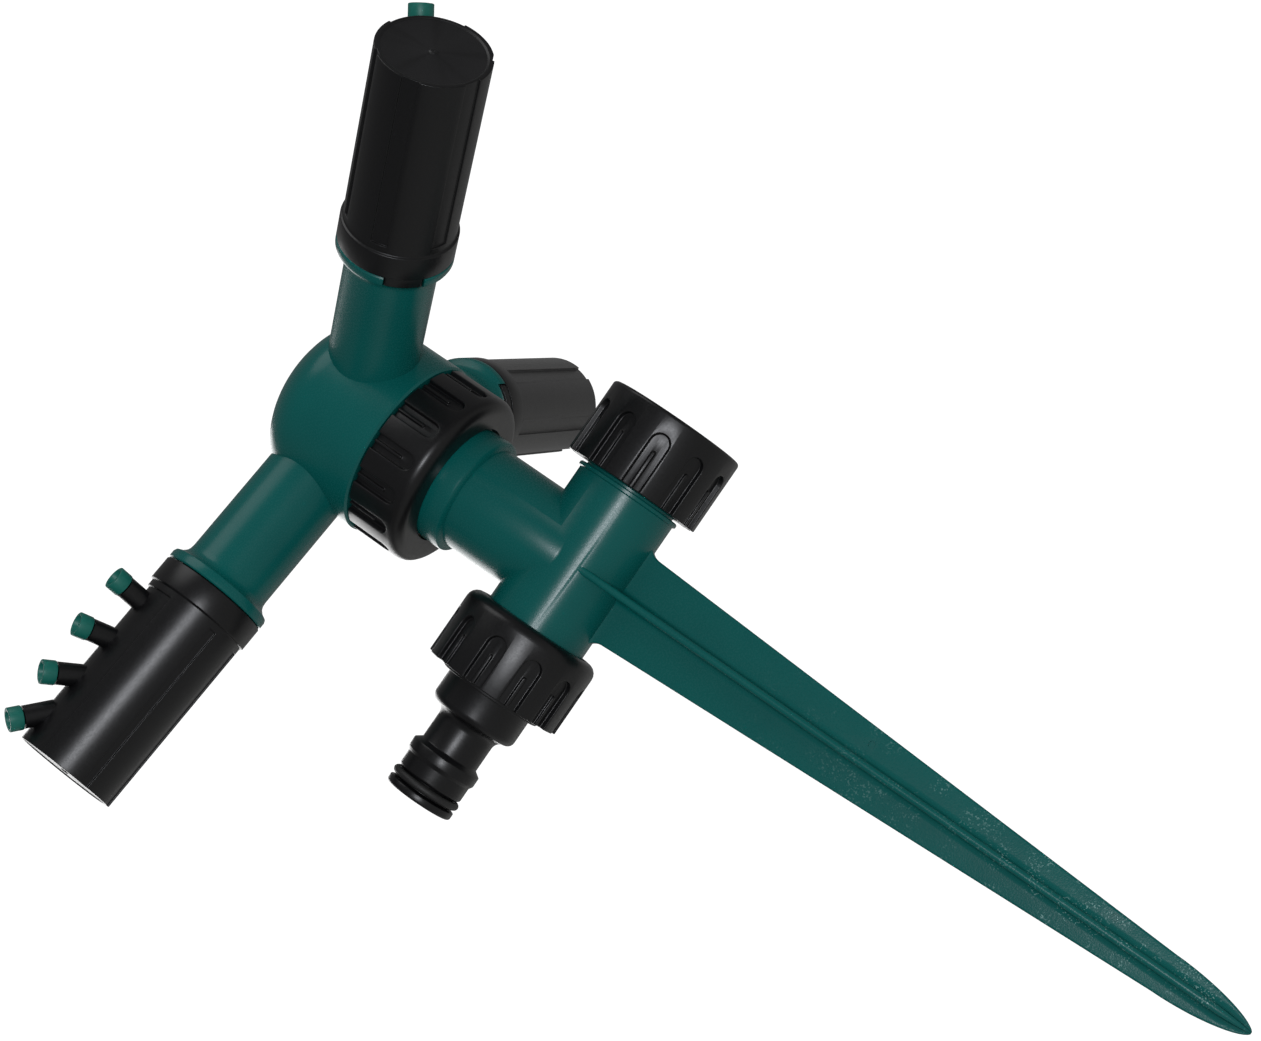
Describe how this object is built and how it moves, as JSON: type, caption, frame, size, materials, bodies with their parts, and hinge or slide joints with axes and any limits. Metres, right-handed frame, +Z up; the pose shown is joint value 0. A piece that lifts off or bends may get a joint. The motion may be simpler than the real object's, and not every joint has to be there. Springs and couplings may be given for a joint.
{
  "type": "rotary lawn sprinkler",
  "caption": "Three-arm rotary lawn sprinkler on a ribbed ground spike, with a hose inlet, a blank cap and angled jets on capped nozzle tubes.",
  "frame": {"origin": "on the rotor's axis at the ground line, at the top of the spike's blades", "axes": "+Z up the rotor's axis, away from the spike's tip; -X towards the hose connector, +X towards the blank cap"},
  "size_m": [0.1959, 0.1997, 0.2728],
  "materials": {
    "green_plastic": "moulded polypropylene, satin",
    "green_tip": "soft moulded plastic",
    "black_plastic": "moulded, semi-gloss",
    "seal_rubber": "matt",
    "natural_nylon": "plain moulded"
  },
  "bodies": {
    "base": {"spike_body": "green_plastic", "swivel_spigot": "natural_nylon", "swivel_slip_washer": "natural_nylon"},
    "rotor": {"rotor_hub": "green_plastic", "swivel_nut": "black_plastic", "swivel_seal_washer": "seal_rubber", "nozzle_tube_1": "black_plastic", "nozzle_tube_2": "black_plastic", "nozzle_tube_3": "black_plastic", "arm_o_ring_1": "seal_rubber", "arm_o_ring_2": "seal_rubber", "arm_o_ring_3": "seal_rubber", "jet_tip_1_1": "green_tip", "jet_tip_1_2": "green_tip", "jet_tip_1_3": "green_tip", "jet_tip_1_4": "green_tip", "jet_tip_2_1": "green_tip", "jet_tip_2_2": "green_tip", "jet_tip_2_3": "green_tip", "jet_tip_2_4": "green_tip", "jet_tip_3_1": "green_tip", "jet_tip_3_2": "green_tip", "jet_tip_3_3": "green_tip", "jet_tip_3_4": "green_tip"},
    "cap_seal": {"cap_washer": "seal_rubber"},
    "cap": {"blank_cap": "black_plastic"},
    "tail": {"hose_tail": "black_plastic", "tail_o_ring": "seal_rubber", "connector_washer": "seal_rubber"},
    "connector_ring": {"connector_nut": "black_plastic"}
  },
  "joints": [
    {"name": "rotor_spin", "type": "hinge", "parent": "base", "child": "rotor", "pos_m": [0, 0, 0.0857], "axis": [0, 0, 1], "continuous": true},
    {"name": "cap_travel", "type": "slide", "parent": "base", "child": "cap_seal", "axis": [1, 0, 0], "range_m": [0, 0.0109]},
    {"name": "cap_turn", "type": "hinge", "parent": "cap_seal", "child": "cap", "pos_m": [0.031, 0, 0.018], "axis": [1, 0, 0], "range_deg": [0, 2160]},
    {"name": "tail_travel", "type": "slide", "parent": "base", "child": "tail", "axis": [-1, 0, 0], "range_m": [0, 0.0145]},
    {"name": "connector_turn", "type": "hinge", "parent": "tail", "child": "connector_ring", "pos_m": [-0.029, 0, 0.018], "axis": [-1, 0, 0], "range_deg": [0, 2880]}
  ],
  "couplings": [
    {"joint": "cap_travel", "follows": "cap_turn", "m_per_rad": 0.00028871},
    {"joint": "tail_travel", "follows": "connector_turn", "m_per_rad": 0.00028871}
  ]
}
